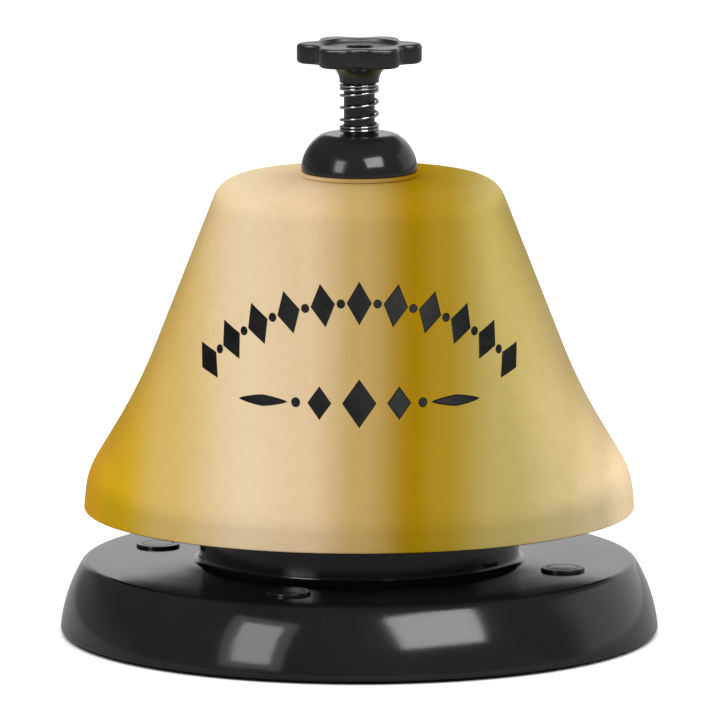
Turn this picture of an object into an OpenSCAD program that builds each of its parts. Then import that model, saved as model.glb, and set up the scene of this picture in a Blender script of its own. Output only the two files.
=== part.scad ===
// Counter bell: a flared gong on a moulded base, rung by pressing a sprung plunger.
// The plunger tips a rocker lever, and the lever swings a hammer against the inside of the gong.
// The origin is the centre of the underside, on the axis of the gong. +Z is up and -Y is the front.

/* [Base] */
// Radius of the base at the table
base_r = 42.5; // [42:0.1:44]
// Height of the flat top of the base, where the rivet heads sit
plateau_z = 10.5; // [10:0.1:11]
// Radius of the curved flank
flank_r = 21; // [20:0.5:24]
// Depth below the table of the centre of the flank's curve
flank_drop = 1; // [0.5:0.1:1.5]
// Radius of the edge between the flank and the flat top
shoulder_edge_r = 1.3; // [1:0.1:1.6]
// Thickness of the moulding
base_wall = 2.2; // [1.8:0.1:2.4]
// Radius of the drum that carries the works
drum_r = 22.7; // [22.5:0.1:24]
// Height of the deck on top of the drum
deck_z = 22; // [21.5:0.1:22.4]
// Radius of the fillet at the foot of the drum
drum_foot_r = 1; // [0.5:0.1:1.4]
// Gap between the rim of the moulding and the table
rim_z = 0.4; // [0.3:0.1:0.6]

/* [Base fixings] */
// Number of rivets, and of rubber feet
rivet_count = 4; // [3:1:6]
// Distance of the rivets from the axis
rivet_pitch_r = 30.4; // [29:0.1:31]
// Angle of the first rivet
rivet_angle = -19; // [-30:1:-10]
// Radius of a rivet head
rivet_head_r = 3.1; // [2.8:0.1:3.4]
// Height of a rivet head
rivet_head_h = 0.35; // [0.25:0.05:0.6]
// Thickness of the steel bottom plate
plate_t = 1.5; // [1:0.1:1.8]
// Radius of a rubber foot
foot_r = 5; // [4:0.5:6]
// Height of a rubber foot under the bottom plate
foot_h = 2.2; // [2:0.1:2.4]

/* [Gong] */
// Radius of the gong's lip
lip_r = 39.1; // [38.5:0.1:39.5]
// Height of the gong's lip
lip_z = 17.9; // [17.5:0.1:18.5]
// Thickness of the gong's wall
gong_wall = 0.85; // [0.7:0.05:1]
// Radius of the bend above the lip
knee_r = 11; // [9:0.5:13]
// Radius of the inward curve that makes the flare
flare_r = 75; // [70:1:80]
// Radius of the shoulder round the crown
gong_shoulder_r = 4.2; // [3.6:0.2:5]
// Radius of the flat seat in the middle of the crown
crown_seat_r = 10; // [9:0.5:11]

/* [Post and cap] */
// Radius of the post's threaded ends
thread_r = 4; // [3.8:0.1:4.2]
// Thickness of the brass washer under the cap
crown_washer_t = 0.7; // [0.5:0.1:1]
// Largest radius of the cap
cap_r = 8.24; // [8:0.02:8.6]
// Radius of the cap's rounded side
cap_round_r = 5.8; // [5.4:0.1:6]
// Radius between the cap's side and its flat top
cap_edge_r = 2; // [1.6:0.1:2.4]

/* [Plunger] */
// How far the plunger is pressed
travel = 2.8; // [2:0.1:2.8]
// Radius of the knob's stem
stem_r = 2.2; // [2:0.05:2.2]
// Radius of the steel pin inside the stem
pin_r = 1.5; // [1.4:0.05:1.5]
// Height of the return spring at rest
spring_h = 7.3; // [7.1:0.1:7.6]
// Diameter of the spring's wire
spring_wire_d = 0.45; // [0.4:0.05:0.5]
// Number of open turns in the spring
spring_open_turns = 2.8; // [2.6:0.1:3]

/* [Knob] */
// Number of lobes round the knob
lobe_count = 6; // [5:1:7]
// Radius to the tip of a lobe
knob_r = 8.85; // [8.5:0.05:9.2]
// Radius of one lobe
lobe_r = 2.6; // [2.4:0.1:2.8]
// Radius of the knob's body between the lobes
knob_body_r = 6.4; // [6.3:0.1:6.6]
// Thickness of the knob's rim
knob_rim_t = 2.8; // [2.5:0.1:3]
// Radius of the shallow recess in the knob's top
dish_r = 5.6; // [5.4:0.1:5.8]
// Depth of the recess
dish_depth = 0.5; // [0.3:0.1:0.8]

/* [Striker] */
// Angle that the lever and hammer swing through
swing = 21.4; // [18:0.2:22]
// Angle of the hammer's arm below level, at rest
arm_drop = 33; // [32:0.5:35]
// Radius of the hammer head
hammer_r = 3; // [2.6:0.1:3.2]
// Space left between hammer and gong at full stroke, which the flexing wire closes
strike_gap = 0.15; // [0.1:0.05:0.4]

/* [Hidden] */

$fn = 96;
bend_step = 5; // largest turn of one straight piece of a bend, in degrees
run = 0.05; // radial clearance of a running fit
cut = 1; // how far a cutting tool passes a face
seat = 0.02; // space left between two faces that rest on each other

// Gong, as straight runs and bends from the lip up to the crown: [length or radius, turn]
LIP_HEADING = 95.5;
GONG_STEPS = [[2.7, 0], [knee_r, 25.6], [5.4, 0], [flare_r, -9.7], [22.8, 0], [gong_shoulder_r, 67.2]];
crown_slope = 180 - heading_after(LIP_HEADING, GONG_STEPS);
crown_edge = path_end([lip_r, lip_z], LIP_HEADING, GONG_STEPS);
crown_z = crown_edge[1] + (crown_edge[0] - crown_seat_r) * tan(crown_slope);
crown_under_z = crown_z - gong_wall;

// Base
base_in_r = flank_r - base_wall;
flank_centre = [base_r - sqrt(pow(flank_r, 2) - pow(flank_drop, 2)), -flank_drop];
rim_edge_r = 0.5; // rounding of the rim's lower edge
drum_edge_r = 1; // rounding of the deck's edge
plate_top_z = foot_h + plate_t;
plate_pocket_r = base_r - base_wall - 0.1;
plate_r = plate_pocket_r - 0.2;
rivet_r = 1.5; // rivet shank
tube_r = 3; // tube round a rivet or a screw
rib_count = 16;
rib_t = 1.4;
rib_low_z = 5.4;
foot_stem_r = 1.9;

// Bridge
strip_t = 1.2; // sheet thickness
bridge_z = 49; // top face, which the post stands on
bridge_half_w = 9.6; // outer faces of the legs
bridge_foot_y = 17; // tips of the feet
bridge_x = [-8, 12]; // edges of the strip
bend_in_r = 1; // inside radius of every bend
screw_y = 13.4;
SCREW_X = [-5, 9];
screw_r = 1.3;
screw_head_r = 2.5;
screw_head_h = 1.6;
screw_length = 9;
leg_window = [9, 9]; // opening in each leg
leg_window_at = [-0.5, 30.5];

// Post
collar_r = 5.5;
collar_hex_r = 6.35;
collar_hex_h = 4;
post_low_z = 43.8;
post_top_z = crown_z + crown_washer_t + 3.7;
post_shoulder_z = crown_under_z - 1;
washer_r = thread_r + 0.1; // bore of every washer on the post
lock_washer_t = 0.8;
nut_h = 2.4;
nut_r = 6.35;

// Cap and knob
cap_z = crown_z + crown_washer_t;
cap_rim_h = 0.25; // upright part of the cap's side
cap_side_z = cap_z + cap_rim_h;
CAP_STEPS = [[cap_round_r, 56], [cap_edge_r, 34]];
cap_top_z = path_end([cap_r, cap_side_z], 90, CAP_STEPS)[1];
knob_hub_z = cap_top_z + spring_h;
hub_h = 2.75;
knob_under_z = knob_hub_z + hub_h;
knob_top_z = knob_under_z + knob_rim_t;
hub_r = 2.8;
hub_fillet_r = 2.65;
dish_floor_z = knob_top_z - dish_depth;
lobe_fillet_r = 2.2; // between two lobes
pin_head_z = knob_hub_z + 1.75;
pin_head_h = 0.8;
pin_head_r = 1.78;
stem_low_z = 44.4;
pin_tip_z = 41.5;
clip_t = 0.7;
clip_groove_depth = 0.5;
clip_z = post_low_z - seat - clip_t;

// Spring
spring_r = 2.6; // to the middle of the wire
SPRING_LOW_TURNS = 2.2; // closed turns on the cap
SPRING_HIGH_TURNS = 2; // closed turns under the knob
spring_end_pitch = spring_wire_d + 0.02;
SPRING_STEPS_PER_TURN = 20;
WIRE_SIDES = 10;

// Lever and hammer. The arm's length puts the head strike_gap short of the gong at full stroke.
contact_gap = 0.05; // between the lever's nose and the plunger
nose_r = 1.5;
hub_lever_r = 2.6;
inner_arm = travel / (2 * sin(swing / 2));
pivot = [
    inner_arm * (1 + cos(swing / 2)) / 2,
    pin_tip_z - contact_gap - nose_r - inner_arm * sin(swing / 2)
];
flare_start = path_end([lip_r, lip_z], LIP_HEADING, [for (i = [0:2]) GONG_STEPS[i]]);
flare_heading = LIP_HEADING + GONG_STEPS[1][1];
flare_centre = flare_start - flare_r * [cos(flare_heading + 90), sin(flare_heading + 90)];
strike_angle = swing - arm_drop;
strike_way = [cos(strike_angle), sin(strike_angle)];
reach = flare_r + gong_wall + hammer_r + strike_gap;
pivot_away = pivot - flare_centre;
outer_arm = -strike_way * pivot_away
    - sqrt(pow(strike_way * pivot_away, 2) - pivot_away * pivot_away + pow(reach, 2));
wire_r = 0.8;
socket_r = 2;
socket_length = 9;
wire_start = 4.2;
lever_half_w = 7.75;
arm_half_w = 2.5;
thrust_washer_t = 0.5;
pivot_tail = 1.5; // length of the pivot pin outside a leg
pivot_head_r = 2.4;
pivot_head_t = 0.9;
pivot_clip_t = 0.6;

// Points of a round stretch of an outline, from one angle to another
function arc(centre, radius, from, to) =
    let (steps = ceil(abs(to - from) / bend_step))
    [for (i = [0:steps]) let (a = from + (to - from) * i / steps) centre + radius * [cos(a), sin(a)]];

// A path is a list of steps: [length, 0] is a straight run and [radius, turn] is a bend
function step_point(start, heading, step, share) =
    step[1] == 0
        ? start + share * step[0] * [cos(heading), sin(heading)]
        : let (side = sign(step[1]) * step[0], out = heading + 90, turned = out + share * step[1])
          start + side * [cos(out) - cos(turned), sin(out) - sin(turned)];

function step_pieces(step) = step[1] == 0 ? 1 : ceil(abs(step[1]) / bend_step);

function path(start, heading, steps, i = 0) =
    i == len(steps)
        ? [start]
        : concat(
            [for (k = [0:step_pieces(steps[i]) - 1])
                step_point(start, heading, steps[i], k / step_pieces(steps[i]))],
            path(step_point(start, heading, steps[i], 1), heading + steps[i][1], steps, i + 1)
        );

function path_end(start, heading, steps) =
    let (points = path(start, heading, steps))
    points[len(points) - 1];

function heading_after(heading, steps, i = 0) =
    i == len(steps) ? heading : heading_after(heading + steps[i][1], steps, i + 1);

// The same path moved sideways, to its left
function left_start(start, heading, gap) = start + gap * [cos(heading + 90), sin(heading + 90)];
function left_steps(steps, gap) =
    [for (s = steps) s[1] == 0 ? s : [s[0] - sign(s[1]) * gap, s[1]]];

function reversed(list) = [for (i = [len(list) - 1:-1:0]) list[i]];

// Copies of a piece round the axis
module around(count, radius, first = 0) {
    for (i = [0:count - 1]) {
        rotate([0, 0, first + i * 360 / count])
            translate([radius, 0, 0])
                children();
    }
}

// A flat ring that lies on z = 0
module ring(outer, inner, height) {
    difference() {
        cylinder(h = height, r = outer);
        translate([0, 0, -cut]) cylinder(h = height + 2 * cut, r = inner);
    }
}

// A spring clip: a flat ring with an opening towards +X
module snap_ring(outer, inner, height) {
    difference() {
        ring(outer, inner, height);
        translate([0, -inner * 0.8, -cut]) cube([outer + cut, inner * 1.6, height + 2 * cut]);
    }
}

// Puts a shape drawn along +Z at the lever's pivot, lying along +Y
module at_pivot(y = 0) {
    translate([pivot[0], y, pivot[1]]) rotate([-90, 0, 0]) children();
}

// Puts a shape drawn along +Z at the lever's pivot, pointing along the hammer's arm at rest
module along_arm(distance = 0) {
    translate([pivot[0], 0, pivot[1]])
        rotate([0, 90 + arm_drop, 0])
            translate([0, 0, distance])
                children();
}

module at_screws() {
    for (x = SCREW_X, y = [-screw_y, screw_y]) {
        translate([x, y, 0]) children();
    }
}

// Outline of the base moulding, from the outer rim over the deck and back inside
module base_outline() {
    edge_gap = flank_r - shoulder_edge_r;
    edge_z = plateau_z - shoulder_edge_r;
    edge_angle = asin((edge_z + flank_drop) / edge_gap);
    edge_centre = flank_centre + edge_gap * [cos(edge_angle), sin(edge_angle)];
    rim_top_z = rim_z + rim_edge_r;
    rim_angle = asin((rim_top_z + flank_drop) / flank_r);
    rim_centre = [flank_centre[0] + flank_r * cos(rim_angle) - rim_edge_r, rim_top_z];
    ceiling_z = plateau_z - base_wall;
    ceiling_angle = asin((ceiling_z + flank_drop) / base_in_r);
    plate_angle = asin((plate_top_z + flank_drop) / base_in_r);
    polygon(concat(
        [[plate_pocket_r, rim_z]],
        arc(rim_centre, rim_edge_r, -90, 0),
        arc(flank_centre, flank_r, rim_angle, edge_angle),
        arc(edge_centre, shoulder_edge_r, edge_angle, 90),
        arc([drum_r + drum_foot_r, plateau_z + drum_foot_r], drum_foot_r, 270, 180),
        arc([drum_r - drum_edge_r, deck_z - drum_edge_r], drum_edge_r, 0, 90),
        [[0, deck_z], [0, deck_z - base_wall]],
        [[drum_r - base_wall, deck_z - base_wall], [drum_r - base_wall, ceiling_z]],
        arc(flank_centre, base_in_r, ceiling_angle, plate_angle),
        [[plate_pocket_r, plate_top_z]]
    ));
}

module base_shell() {
    color("#242426")
    difference() {
        union() {
            rotate_extrude() base_outline();
            around(rivet_count, rivet_pitch_r, rivet_angle)
                translate([0, 0, plate_top_z + seat])
                    cylinder(h = plateau_z - plate_top_z - base_wall / 2, r = tube_r);
            at_screws()
                translate([0, 0, deck_z - screw_length])
                    cylinder(h = screw_length - base_wall / 2, r = tube_r);
            around(rib_count, drum_r - base_wall / 2, rivet_angle + 180 / rib_count)
                translate([0, -rib_t / 2, rib_low_z])
                    cube([16, rib_t, plateau_z - base_wall / 2 - rib_low_z]);
        }
        around(rivet_count, rivet_pitch_r, rivet_angle) cylinder(h = deck_z, r = rivet_r + run);
        at_screws() cylinder(h = deck_z + cut, r = screw_r + run);
    }
}

module bottom_plate() {
    color("#8d9196")
    difference() {
        translate([0, 0, foot_h]) cylinder(h = plate_t, r = plate_r);
        around(rivet_count, rivet_pitch_r, rivet_angle) cylinder(h = deck_z, r = rivet_r + run);
        around(rivet_count, rivet_pitch_r, rivet_angle + 180 / rivet_count)
            cylinder(h = deck_z, r = foot_stem_r + run);
    }
}

// Push-in feet: a pad below the plate, a stem through it and a barbed head above
module rubber_feet() {
    barb_r = foot_stem_r + 0.8;
    edge = 0.4;
    color("#1b1b1c")
    around(rivet_count, rivet_pitch_r, rivet_angle + 180 / rivet_count)
        rotate_extrude()
            polygon(concat(
                [[0, 0]],
                arc([foot_r - edge, edge], edge, -90, 0),
                [[foot_r, foot_h - seat], [foot_stem_r, foot_h - seat]],
                [[foot_stem_r, plate_top_z + seat], [barb_r, plate_top_z + seat]],
                [[foot_stem_r - 0.4, plate_top_z + 1.4], [0, plate_top_z + 1.4]]
            ));
}

// Rivets that clamp the moulding to the bottom plate, with a ring pressed into each head
module cover_rivets() {
    edge = 0.12;
    tail_h = 0.8;
    tail_r = 2.4;
    top_z = plateau_z + seat + rivet_head_h;
    groove_r = rivet_head_r * 0.72;
    groove = 0.08;
    color("#2b2b2d")
    around(rivet_count, rivet_pitch_r, rivet_angle)
        rotate_extrude()
            polygon(concat(
                [[0, foot_h - seat - tail_h], [tail_r, foot_h - seat - tail_h]],
                [[tail_r, foot_h - seat], [rivet_r, foot_h - seat]],
                [[rivet_r, plateau_z + seat], [rivet_head_r, plateau_z + seat]],
                arc([rivet_head_r - edge, top_z - edge], edge, 0, 90),
                [[groove_r + groove, top_z], [groove_r, top_z - groove], [groove_r - groove, top_z]],
                [[0, top_z]]
            ));
}

// Outline of the folded strip, seen from its edge: foot, leg, top, leg, foot
module bridge_outline() {
    fold_out_r = bend_in_r + strip_t;
    top_z = bridge_z - seat;
    foot_run = bridge_foot_y - bridge_half_w - bend_in_r;
    leg_run = top_z - fold_out_r - (deck_z + seat + strip_t + bend_in_r);
    start = [bridge_foot_y, deck_z + seat + strip_t];
    steps = [
        [foot_run, 0],
        [bend_in_r, -90],
        [leg_run, 0],
        [fold_out_r, 90],
        [2 * (bridge_half_w - fold_out_r), 0],
        [fold_out_r, 90],
        [leg_run, 0],
        [bend_in_r, -90],
        [foot_run, 0],
    ];
    polygon(concat(
        path(start, 180, steps),
        reversed(path(left_start(start, 180, strip_t), 180, left_steps(steps, strip_t)))
    ));
}

module bridge_frame() {
    color("#b9bcc0")
    difference() {
        translate([bridge_x[0], 0, 0])
            rotate([90, 0, 90])
                linear_extrude(height = bridge_x[1] - bridge_x[0])
                    bridge_outline();
        translate([0, 0, bridge_z - 2 * strip_t]) cylinder(h = 3 * strip_t, r = washer_r);
        at_pivot(-bridge_foot_y) cylinder(h = 2 * bridge_foot_y, r = pin_r + run);
        at_screws() cylinder(h = deck_z + 3 * strip_t, r = screw_r + 0.2);
        translate([leg_window_at[0], 0, leg_window_at[1]])
            cube([leg_window[0], 2 * (bridge_half_w + cut), leg_window[1]], center = true);
    }
}

// Cross-recess pan-head screws that hold the bridge down on the deck
module bridge_screws() {
    under_z = deck_z + strip_t + 2 * seat;
    recess_w = 0.7;
    recess_l = 2.8;
    recess_depth = 0.9;
    edge = 0.7;
    color("#c9ccd0")
    at_screws()
        translate([0, 0, under_z])
            difference() {
                rotate_extrude()
                    polygon(concat(
                        [[0, -screw_length], [screw_r * 0.6, -screw_length], [screw_r, 0.8 - screw_length]],
                        [[screw_r, 0], [screw_head_r, 0]],
                        arc([screw_head_r - edge, screw_head_h - edge], edge, 0, 90),
                        [[0, screw_head_h]]
                    ));
                for (a = [0, 90]) {
                    rotate([0, 0, a])
                        translate([-recess_l / 2, -recess_w / 2, screw_head_h - recess_depth])
                            cube([recess_l, recess_w, recess_depth + cut]);
                }
            }
}

// Hollow post: threaded through the bridge, with a collar and hexagon, and threaded up through the gong
module bell_post() {
    lead = 0.5;
    color("#c3a45a")
    difference() {
        union() {
            rotate_extrude()
                polygon([
                    [0, post_low_z], [thread_r - lead, post_low_z], [thread_r, post_low_z + lead],
                    [thread_r, bridge_z], [collar_r, bridge_z],
                    [collar_r, post_shoulder_z], [thread_r, post_shoulder_z],
                    [thread_r, post_top_z - lead], [thread_r - lead, post_top_z], [0, post_top_z]
                ]);
            translate([0, 0, bridge_z]) cylinder(h = collar_hex_h, r = collar_hex_r, $fn = 6);
        }
        translate([0, 0, post_low_z - cut])
            cylinder(h = post_top_z - post_low_z + 2 * cut, r = stem_r + run);
    }
}

// Split spring washer between the bridge and the nut
module lock_washer() {
    color("#a9adb2")
    translate([0, 0, bridge_z - strip_t - 2 * seat - lock_washer_t])
        snap_ring(thread_r + 2.4, washer_r, lock_washer_t - seat);
}

module post_nut() {
    color("#b5b8bc")
    translate([0, 0, bridge_z - strip_t - 3 * seat - lock_washer_t - nut_h])
        difference() {
            cylinder(h = nut_h, r = nut_r, $fn = 6);
            translate([0, 0, -cut]) cylinder(h = nut_h + 2 * cut, r = thread_r + run);
        }
}

// Rubber washer that lets the gong ring
module support_washer() {
    color("#202021")
    translate([0, 0, post_shoulder_z + seat])
        ring(2 * thread_r, washer_r, crown_under_z - post_shoulder_z - 2 * seat);
}

module bell() {
    inner_steps = left_steps(GONG_STEPS, gong_wall);
    inner_path = path(left_start([lip_r, lip_z], LIP_HEADING, gong_wall), LIP_HEADING, inner_steps);
    color("#d8b45c")
    rotate_extrude()
        polygon(concat(
            path([lip_r, lip_z], LIP_HEADING, GONG_STEPS),
            [[crown_seat_r, crown_z], [washer_r, crown_z]],
            [[washer_r, crown_under_z], [crown_seat_r, crown_under_z]],
            reversed(inner_path)
        ));
}

module crown_washer() {
    color("#d8b45c")
    translate([0, 0, crown_z + seat]) ring(cap_r - 0.1, washer_r, crown_washer_t - 2 * seat);
}

// Domed cap nut, with a threaded socket below and a guide hole for the stem on top
module dome_cap() {
    socket_top_z = post_top_z + 0.2;
    edge = 0.1;
    color("#242426")
    rotate_extrude()
        polygon(concat(
            [[thread_r + run, cap_z], [cap_r - edge, cap_z], [cap_r, cap_z + edge]],
            path([cap_r, cap_side_z], 90, CAP_STEPS),
            [[stem_r + run, cap_top_z], [stem_r + run, socket_top_z], [thread_r + run, socket_top_z]]
        ));
}

// Height of the middle of the wire after a number of turns: closed ends, open in the middle
function spring_rise(turns) =
    let (
        closed_turns = SPRING_LOW_TURNS + SPRING_HIGH_TURNS,
        open_rise = spring_h - spring_wire_d - closed_turns * spring_end_pitch,
        low = min(turns, SPRING_LOW_TURNS),
        open = min(max(turns - SPRING_LOW_TURNS, 0), spring_open_turns),
        high = max(turns - SPRING_LOW_TURNS - spring_open_turns, 0)
    )
    (low + high) * spring_end_pitch + open * open_rise / spring_open_turns;

module return_spring() {
    turns = SPRING_LOW_TURNS + spring_open_turns + SPRING_HIGH_TURNS;
    count = ceil(turns * SPRING_STEPS_PER_TURN);
    points = [
        for (i = [0:count], k = [0:WIRE_SIDES - 1])
            let (
                t = turns * i / count,
                r = spring_r + spring_wire_d / 2 * cos(360 * k / WIRE_SIDES),
                z = spring_rise(t) + spring_wire_d / 2 * (1 + sin(360 * k / WIRE_SIDES))
            )
            [r * cos(360 * t), r * sin(360 * t), z]
    ];
    sides = [
        for (i = [0:count - 1], k = [0:WIRE_SIDES - 1])
            let (a = i * WIRE_SIDES, next = (k + 1) % WIRE_SIDES)
            [a + k, a + next, a + WIRE_SIDES + next, a + WIRE_SIDES + k]
    ];
    ends = [
        [for (k = [WIRE_SIDES - 1:-1:0]) k],
        [for (k = [0:WIRE_SIDES - 1]) count * WIRE_SIDES + k]
    ];
    color("#c8cbd0")
    translate([0, 0, cap_top_z]) polyhedron(points = points, faces = concat(sides, ends));
}

// Outline of the knob from above: a disc with round lobes, and fillets between them
module knob_outline() {
    offset(r = -lobe_fillet_r)
        offset(r = lobe_fillet_r)
            union() {
                circle(r = knob_body_r);
                around(lobe_count, knob_r - lobe_r) circle(r = lobe_r);
            }
}

// Knob and stem in one moulding, bored for the plunger pin
module push_knob() {
    dish_side = 0.3;
    color("#262628")
    difference() {
        union() {
            translate([0, 0, knob_under_z])
                linear_extrude(height = knob_rim_t)
                    knob_outline();
            rotate_extrude()
                polygon(concat(
                    [[0, stem_low_z], [stem_r, stem_low_z], [stem_r, knob_hub_z + seat]],
                    [[hub_r, knob_hub_z + seat]],
                    arc([hub_r + hub_fillet_r, knob_under_z - hub_fillet_r], hub_fillet_r, 180, 90),
                    [[hub_r + hub_fillet_r, knob_under_z + cut], [0, knob_under_z + cut]]
                ));
        }
        rotate_extrude()
            polygon([
                [0, pin_head_z], [pin_head_r + 0.12, pin_head_z],
                [pin_head_r + 0.12, dish_floor_z], [dish_r - dish_side, dish_floor_z],
                [dish_r, knob_top_z], [dish_r, knob_top_z + cut], [0, knob_top_z + cut]
            ]);
        translate([0, 0, stem_low_z - cut])
            cylinder(h = pin_head_z - stem_low_z + 2 * cut, r = pin_r + run);
    }
}

// Steel pin in the knob's stem: a head in the knob, a groove for the clip, a round tip on the lever
module plunger_pin() {
    groove_r = pin_r - clip_groove_depth;
    tip = 0.3;
    color("#bfc2c6")
    rotate_extrude()
        polygon([
            [0, pin_tip_z], [pin_r - tip, pin_tip_z], [pin_r, pin_tip_z + tip],
            [pin_r, clip_z - seat], [groove_r, clip_z - seat],
            [groove_r, clip_z + clip_t + seat], [pin_r, clip_z + clip_t + seat],
            [pin_r, pin_head_z + seat], [pin_head_r, pin_head_z + seat],
            [pin_head_r, pin_head_z + pin_head_h - tip], [pin_head_r - tip, pin_head_z + pin_head_h],
            [0, pin_head_z + pin_head_h]
        ]);
}

// Clip that stops the plunger against the foot of the post
module retaining_clip() {
    color("#9a9da2")
    translate([0, 0, clip_z])
        rotate([0, 0, 180])
            snap_ring(3.6, pin_r - clip_groove_depth + seat, clip_t);
}

// Side view of the lever's inner arm: the nose stands above the arm, which stays clear of the plunger
module inner_arm_outline() {
    arm_round = 1.3;
    root_round = 1.7;
    translate([-inner_arm, 0]) circle(r = nose_r, $fn = 48);
    hull() {
        translate([-inner_arm, arm_round - nose_r]) circle(r = arm_round, $fn = 48);
        translate([0, -0.4]) circle(r = root_round, $fn = 48);
    }
}

// Moulded lever: a hub on the pivot pin, a round nose under the plunger and a socket for the wire
module rocker_lever() {
    color("#d9d6cc")
    difference() {
        union() {
            at_pivot(-lever_half_w) cylinder(h = 2 * lever_half_w, r = hub_lever_r);
            translate([pivot[0], arm_half_w, pivot[1]])
                rotate([90, swing / 2, 0])
                    linear_extrude(height = 2 * arm_half_w)
                        inner_arm_outline();
            along_arm() cylinder(h = socket_length, r = socket_r);
        }
        at_pivot(-bridge_half_w) cylinder(h = 2 * bridge_half_w, r = pin_r + run);
        along_arm(wire_start - 0.2) cylinder(h = socket_length, r = wire_r + seat);
    }
}

module pivot_pin() {
    groove_r = pin_r - 0.4;
    head_y = -bridge_half_w - seat;
    clip_y = bridge_half_w + 2 * seat;
    tail_y = bridge_half_w + pivot_tail;
    color("#c4c7cb")
    at_pivot()
        rotate_extrude()
            polygon([
                [0, head_y - pivot_head_t], [pivot_head_r, head_y - pivot_head_t],
                [pivot_head_r, head_y], [pin_r, head_y],
                [pin_r, clip_y - seat], [groove_r, clip_y - seat],
                [groove_r, clip_y + pivot_clip_t + seat], [pin_r, clip_y + pivot_clip_t + seat],
                [pin_r, tail_y], [0, tail_y]
            ]);
}

// Thin washers that centre the lever between the legs
module pivot_washers() {
    leg_face_y = bridge_half_w - strip_t;
    color("#e6e3da")
    for (y = [leg_face_y - seat - thrust_washer_t, -leg_face_y + seat]) {
        at_pivot(y) ring(hub_lever_r + 0.4, pin_r + 0.1, thrust_washer_t);
    }
}

module pivot_clip() {
    color("#9a9da2")
    at_pivot(bridge_half_w + 2 * seat) snap_ring(2.9, pin_r - 0.4 + seat, pivot_clip_t);
}

module hammer_wire() {
    color("#b4b7bb")
    along_arm(wire_start) cylinder(h = outer_arm + 1 - wire_start, r = wire_r);
}

// Turned hammer head: a ball with a collar, drilled for the wire
module hammer_head() {
    collar = 4.6;
    color("#c9a347")
    difference() {
        union() {
            along_arm(outer_arm) sphere(r = hammer_r);
            along_arm(outer_arm - collar) cylinder(h = collar, r = 1.7);
        }
        along_arm(outer_arm - collar - cut) cylinder(h = collar + cut + 1.2, r = wire_r + seat);
    }
}

base_shell();
bottom_plate();
rubber_feet();
cover_rivets();
bridge_frame();
bridge_screws();
bell_post();
lock_washer();
post_nut();
support_washer();
bell();
crown_washer();
dome_cap();
return_spring();
push_knob();
plunger_pin();
retaining_clip();
rocker_lever();
pivot_pin();
pivot_washers();
pivot_clip();
hammer_wire();
hammer_head();
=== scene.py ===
# Looks of the counter bell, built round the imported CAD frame. Blender lengths are metres.
#
# Outlines are written in millimetres as corners (radius from the axis, height, rounding), because that is
# how a turned or moulded part is drawn. mm() turns them into metres when the mesh is made.

import math

import bmesh
import bpy
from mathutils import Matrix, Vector


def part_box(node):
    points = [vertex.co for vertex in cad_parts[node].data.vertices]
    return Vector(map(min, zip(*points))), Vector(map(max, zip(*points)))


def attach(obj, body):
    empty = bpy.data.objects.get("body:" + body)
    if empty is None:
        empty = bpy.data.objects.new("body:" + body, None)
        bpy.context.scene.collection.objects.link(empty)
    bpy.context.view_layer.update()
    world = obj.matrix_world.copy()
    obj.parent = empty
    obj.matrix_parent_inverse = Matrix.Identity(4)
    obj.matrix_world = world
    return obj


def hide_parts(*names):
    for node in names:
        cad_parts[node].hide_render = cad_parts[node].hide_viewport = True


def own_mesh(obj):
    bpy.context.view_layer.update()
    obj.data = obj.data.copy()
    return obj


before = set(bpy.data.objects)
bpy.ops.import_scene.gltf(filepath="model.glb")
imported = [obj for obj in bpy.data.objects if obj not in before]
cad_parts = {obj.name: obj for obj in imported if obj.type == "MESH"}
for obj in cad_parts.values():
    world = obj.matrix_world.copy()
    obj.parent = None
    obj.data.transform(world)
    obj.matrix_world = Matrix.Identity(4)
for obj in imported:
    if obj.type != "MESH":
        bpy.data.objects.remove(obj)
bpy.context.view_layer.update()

MM = 0.001
TAU = 2 * math.pi

ROUND_STEP = math.radians(7)  # largest turn between two points of a rounded corner
STRAIGHT_STEP = 2.0  # longest straight piece of an outline that is followed
SHARP = math.radians(38)  # edges that turn more than this stay sharp
AROUND_LARGE = 256  # sides of the gong and the base
AROUND_SMALL = 128  # sides of the cap and the crown's ring
AROUND_FASTENER = 64  # sides of the rivets and feet
AROUND_HIDDEN = 32  # sides of tubes and bosses inside the base
AROUND_HOLE = 48  # sides of the holes in the bottom plate
CLEAR = 0.02  # gap in mm that keeps two faces from lying on one plane

AIM = Vector((0, 0, 0.03894))  # what the camera and the lights point at
CAMERA_DISTANCE = 1.6439
CAMERA_PITCH = math.radians(9)
CAMERA_LENS = 580.05
LIGHT_DISTANCE = 1.2


# ---------------------------------------------------------------- places, from the frame, in mm

def low_high(node):
    """Lowest and highest corner of a CAD node, in millimetres."""
    low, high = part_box(node)
    return low / MM, high / MM


BELL_LOW, BELL_HIGH = low_high("bell")
BASE_LOW, BASE_HIGH = low_high("base_shell")
CAP_LOW, CAP_HIGH = low_high("dome_cap")
KNOB_LOW, KNOB_HIGH = low_high("push_knob")
RIVET_LOW, RIVET_HIGH = low_high("cover_rivets")
PLATE_LOW, PLATE_HIGH = low_high("bottom_plate")
RING_LOW, RING_HIGH = low_high("crown_washer")
FOOT_TOP_Z = low_high("rubber_feet")[1].z
HUB_Z = low_high("return_spring")[1].z
PIN_TOP_Z = low_high("plunger_pin")[1].z

# Gong. Steps are straight runs (length, 0) and bends (radius, turn in degrees), from the lip up.
LIP_R = 39.1
LIP_Z = BELL_LOW.z
CROWN_Z = BELL_HIGH.z
GONG_WALL = 0.85
CROWN_SEAT_R = 10.0
GONG_HOLE_R = 4.1
LIP_ROUND = 0.3
HOLE_ROUND = 0.15
LIP_HEADING = 95.5
GONG_STEPS = ((2.7, 0), (11, 25.6), (5.4, 0), (75, -9.7), (22.8, 0), (4.2, 67.2))

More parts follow.
